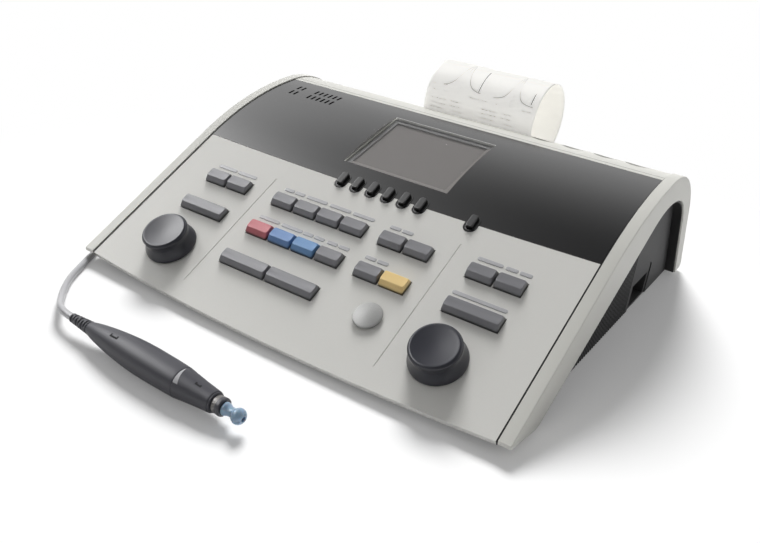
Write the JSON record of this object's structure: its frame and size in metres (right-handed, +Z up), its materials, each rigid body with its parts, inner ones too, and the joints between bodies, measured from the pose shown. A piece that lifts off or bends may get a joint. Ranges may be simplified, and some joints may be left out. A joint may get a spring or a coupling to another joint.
{
  "type": "audiometer",
  "caption": "Tabletop audiometer: sloping key panel, two rotary knobs, curved display window, printer with lid and paper, ear probe on a coiled cord.",
  "frame": {"origin": "centre of the footprint of case and probe, on the table", "axes": "+X to the right of the person at the keys, +Y to the back, +Z up"},
  "size_m": [0.4856, 0.4697, 0.1526],
  "materials": {
    "rail": "satin off-white",
    "panel": "fine light grey metallic paint",
    "window": "polished black",
    "lens": "tinted clear acrylic",
    "lcd": "black frame round a grey display",
    "cover": "satin off-white",
    "tray": "fine texture, dark grey",
    "liner": "matt",
    "key_grey": "satin",
    "key_red": "satin",
    "key_blue": "satin",
    "key_light_blue": "satin",
    "key_yellow": "satin",
    "soft_key": "matt",
    "dome": "satin anodised",
    "knob": "soft touch",
    "board": "green board",
    "mechanism": "moulded",
    "platen": "ground rubber on a steel shaft",
    "paper": null,
    "speaker": "pulp cone in a pressed frame",
    "pump": "moulded head on a motor",
    "socket": "moulded",
    "feet": "matt",
    "screw": "zinc plated",
    "probe": "satin soft-touch",
    "sleeve": "matt",
    "tip": "silicone",
    "cord": "glossy jacket"
  },
  "bodies": {
    "case": {"base_tray": "tray", "side_rail_left": "rail", "side_rail_right": "rail", "arch_liners": "liner", "control_panel": "panel", "display_window": "window", "screen_lens": "lens", "lcd_module": "lcd", "rear_cover": "cover", "printer_frame": "mechanism", "keypad_board": "board", "main_board": "board", "air_pump": "pump", "loudspeaker": "speaker", "rear_sockets": "socket", "rubber_feet": "feet", "case_screws": "screw", "probe_handle": "probe", "probe_nose": "probe", "probe_strain_relief": "sleeve", "probe_plug": "sleeve", "probe_cord_front": "cord", "probe_cord_coil": "cord", "probe_cord_rear": "cord"},
    "lid": {"printer_lid": "cover", "paper_strip": "paper"},
    "platen": {"platen_roller": "platen"},
    "roll": {"paper_roll": "paper"},
    "knob_left": {"knob_left": "knob"},
    "knob_right": {"knob_right": "knob"},
    "rocker": {"power_rocker": "socket"},
    "ear_tip": {"ear_tip": "tip"},
    "key_left_1": {"key_left_1": "key_grey"},
    "key_left_2": {"key_left_2": "key_grey"},
    "bar_left": {"bar_left": "key_grey"},
    "key_upper_1": {"key_upper_1": "key_grey"},
    "key_upper_2": {"key_upper_2": "key_grey"},
    "key_upper_3": {"key_upper_3": "key_grey"},
    "key_upper_4": {"key_upper_4": "key_grey"},
    "key_red": {"key_red": "key_red"},
    "key_blue": {"key_blue": "key_blue"},
    "key_light_blue": {"key_light_blue": "key_light_blue"},
    "key_middle_4": {"key_middle_4": "key_grey"},
    "bar_middle_1": {"bar_middle_1": "key_grey"},
    "bar_middle_2": {"bar_middle_2": "key_grey"},
    "key_inner_1": {"key_inner_1": "key_grey"},
    "key_inner_2": {"key_inner_2": "key_grey"},
    "key_inner_3": {"key_inner_3": "key_grey"},
    "key_yellow": {"key_yellow": "key_yellow"},
    "dome_key": {"dome_key": "dome"},
    "key_right_1": {"key_right_1": "key_grey"},
    "key_right_2": {"key_right_2": "key_grey"},
    "bar_right": {"bar_right": "key_grey"},
    "soft_key_1": {"soft_key_1": "soft_key"},
    "soft_key_2": {"soft_key_2": "soft_key"},
    "soft_key_3": {"soft_key_3": "soft_key"},
    "soft_key_4": {"soft_key_4": "soft_key"},
    "soft_key_5": {"soft_key_5": "soft_key"},
    "soft_key_6": {"soft_key_6": "soft_key"},
    "soft_key_7": {"soft_key_7": "soft_key"}
  },
  "joints": [
    {"name": "lid_hinge", "type": "hinge", "parent": "case", "child": "lid", "pos_m": [0, 0.18742, 0.08025], "axis": [-1, 0, 0], "range_deg": [0, 75]},
    {"name": "knob_left_turn", "type": "hinge", "parent": "case", "child": "knob_left", "pos_m": [-0.1264, -0.10606, 0.02734], "axis": [0, -0.4695, 0.8829], "continuous": true},
    {"name": "knob_right_turn", "type": "hinge", "parent": "case", "child": "knob_right", "pos_m": [0.1231, -0.10606, 0.02734], "axis": [0, -0.4695, 0.8829], "continuous": true},
    {"name": "roll_spin", "type": "hinge", "parent": "case", "child": "roll", "pos_m": [0, 0.12526, 0.072], "axis": [1, 0, 0], "continuous": true},
    {"name": "platen_spin", "type": "hinge", "parent": "lid", "child": "platen", "pos_m": [0, 0.15516, 0.097], "axis": [1, 0, 0], "continuous": true},
    {"name": "power_rock", "type": "hinge", "parent": "case", "child": "rocker", "pos_m": [0.165, 0.21356, 0.02935], "axis": [1, 0, 0], "range_deg": [0, 14]},
    {"name": "ear_tip_pull", "type": "slide", "parent": "case", "child": "ear_tip", "axis": [0.999, -0.0436, 0], "range_m": [0, 0.012]},
    {"name": "key_left_1_press", "type": "slide", "parent": "case", "child": "key_left_1", "axis": [0, 0.4695, -0.8829], "range_m": [0, 0.0012], "stiffness_N_per_m": 400, "springref_m": -0.0006},
    {"name": "key_left_2_press", "type": "slide", "parent": "case", "child": "key_left_2", "axis": [0, 0.4695, -0.8829], "range_m": [0, 0.0012], "stiffness_N_per_m": 400, "springref_m": -0.0006},
    {"name": "bar_left_press", "type": "slide", "parent": "case", "child": "bar_left", "axis": [0, 0.4695, -0.8829], "range_m": [0, 0.0012], "stiffness_N_per_m": 400, "springref_m": -0.0006},
    {"name": "key_upper_1_press", "type": "slide", "parent": "case", "child": "key_upper_1", "axis": [0, 0.4695, -0.8829], "range_m": [0, 0.0012], "stiffness_N_per_m": 400, "springref_m": -0.0006},
    {"name": "key_upper_2_press", "type": "slide", "parent": "case", "child": "key_upper_2", "axis": [0, 0.4695, -0.8829], "range_m": [0, 0.0012], "stiffness_N_per_m": 400, "springref_m": -0.0006},
    {"name": "key_upper_3_press", "type": "slide", "parent": "case", "child": "key_upper_3", "axis": [0, 0.4695, -0.8829], "range_m": [0, 0.0012], "stiffness_N_per_m": 400, "springref_m": -0.0006},
    {"name": "key_upper_4_press", "type": "slide", "parent": "case", "child": "key_upper_4", "axis": [0, 0.4695, -0.8829], "range_m": [0, 0.0012], "stiffness_N_per_m": 400, "springref_m": -0.0006},
    {"name": "key_red_press", "type": "slide", "parent": "case", "child": "key_red", "axis": [0, 0.4695, -0.8829], "range_m": [0, 0.0012], "stiffness_N_per_m": 400, "springref_m": -0.0006},
    {"name": "key_blue_press", "type": "slide", "parent": "case", "child": "key_blue", "axis": [0, 0.4695, -0.8829], "range_m": [0, 0.0012], "stiffness_N_per_m": 400, "springref_m": -0.0006},
    {"name": "key_light_blue_press", "type": "slide", "parent": "case", "child": "key_light_blue", "axis": [0, 0.4695, -0.8829], "range_m": [0, 0.0012], "stiffness_N_per_m": 400, "springref_m": -0.0006},
    {"name": "key_middle_4_press", "type": "slide", "parent": "case", "child": "key_middle_4", "axis": [0, 0.4695, -0.8829], "range_m": [0, 0.0012], "stiffness_N_per_m": 400, "springref_m": -0.0006},
    {"name": "bar_middle_1_press", "type": "slide", "parent": "case", "child": "bar_middle_1", "axis": [0, 0.4695, -0.8829], "range_m": [0, 0.0012], "stiffness_N_per_m": 400, "springref_m": -0.0006},
    {"name": "bar_middle_2_press", "type": "slide", "parent": "case", "child": "bar_middle_2", "axis": [0, 0.4695, -0.8829], "range_m": [0, 0.0012], "stiffness_N_per_m": 400, "springref_m": -0.0006},
    {"name": "key_inner_1_press", "type": "slide", "parent": "case", "child": "key_inner_1", "axis": [0, 0.4695, -0.8829], "range_m": [0, 0.0012], "stiffness_N_per_m": 400, "springref_m": -0.0006},
    {"name": "key_inner_2_press", "type": "slide", "parent": "case", "child": "key_inner_2", "axis": [0, 0.4695, -0.8829], "range_m": [0, 0.0012], "stiffness_N_per_m": 400, "springref_m": -0.0006},
    {"name": "key_inner_3_press", "type": "slide", "parent": "case", "child": "key_inner_3", "axis": [0, 0.4695, -0.8829], "range_m": [0, 0.0012], "stiffness_N_per_m": 400, "springref_m": -0.0006},
    {"name": "key_yellow_press", "type": "slide", "parent": "case", "child": "key_yellow", "axis": [0, 0.4695, -0.8829], "range_m": [0, 0.0012], "stiffness_N_per_m": 400, "springref_m": -0.0006},
    {"name": "dome_key_press", "type": "slide", "parent": "case", "child": "dome_key", "axis": [0, 0.4695, -0.8829], "range_m": [0, 0.0012], "stiffness_N_per_m": 400, "springref_m": -0.0006},
    {"name": "key_right_1_press", "type": "slide", "parent": "case", "child": "key_right_1", "axis": [0, 0.4695, -0.8829], "range_m": [0, 0.0012], "stiffness_N_per_m": 400, "springref_m": -0.0006},
    {"name": "key_right_2_press", "type": "slide", "parent": "case", "child": "key_right_2", "axis": [0, 0.4695, -0.8829], "range_m": [0, 0.0012], "stiffness_N_per_m": 400, "springref_m": -0.0006},
    {"name": "bar_right_press", "type": "slide", "parent": "case", "child": "bar_right", "axis": [0, 0.4695, -0.8829], "range_m": [0, 0.0012], "stiffness_N_per_m": 400, "springref_m": -0.0006},
    {"name": "soft_key_1_press", "type": "slide", "parent": "case", "child": "soft_key_1", "axis": [0, 0.4695, -0.8829], "range_m": [0, 0.0012], "stiffness_N_per_m": 400, "springref_m": -0.0006},
    {"name": "soft_key_2_press", "type": "slide", "parent": "case", "child": "soft_key_2", "axis": [0, 0.4695, -0.8829], "range_m": [0, 0.0012], "stiffness_N_per_m": 400, "springref_m": -0.0006},
    {"name": "soft_key_3_press", "type": "slide", "parent": "case", "child": "soft_key_3", "axis": [0, 0.4695, -0.8829], "range_m": [0, 0.0012], "stiffness_N_per_m": 400, "springref_m": -0.0006},
    {"name": "soft_key_4_press", "type": "slide", "parent": "case", "child": "soft_key_4", "axis": [0, 0.4695, -0.8829], "range_m": [0, 0.0012], "stiffness_N_per_m": 400, "springref_m": -0.0006},
    {"name": "soft_key_5_press", "type": "slide", "parent": "case", "child": "soft_key_5", "axis": [0, 0.4695, -0.8829], "range_m": [0, 0.0012], "stiffness_N_per_m": 400, "springref_m": -0.0006},
    {"name": "soft_key_6_press", "type": "slide", "parent": "case", "child": "soft_key_6", "axis": [0, 0.4695, -0.8829], "range_m": [0, 0.0012], "stiffness_N_per_m": 400, "springref_m": -0.0006},
    {"name": "soft_key_7_press", "type": "slide", "parent": "case", "child": "soft_key_7", "axis": [0, 0.4695, -0.8829], "range_m": [0, 0.0012], "stiffness_N_per_m": 400, "springref_m": -0.0006}
  ],
  "couplings": [
    {"joint": "platen_spin", "follows": "roll_spin", "ratio": -3.8333}
  ]
}
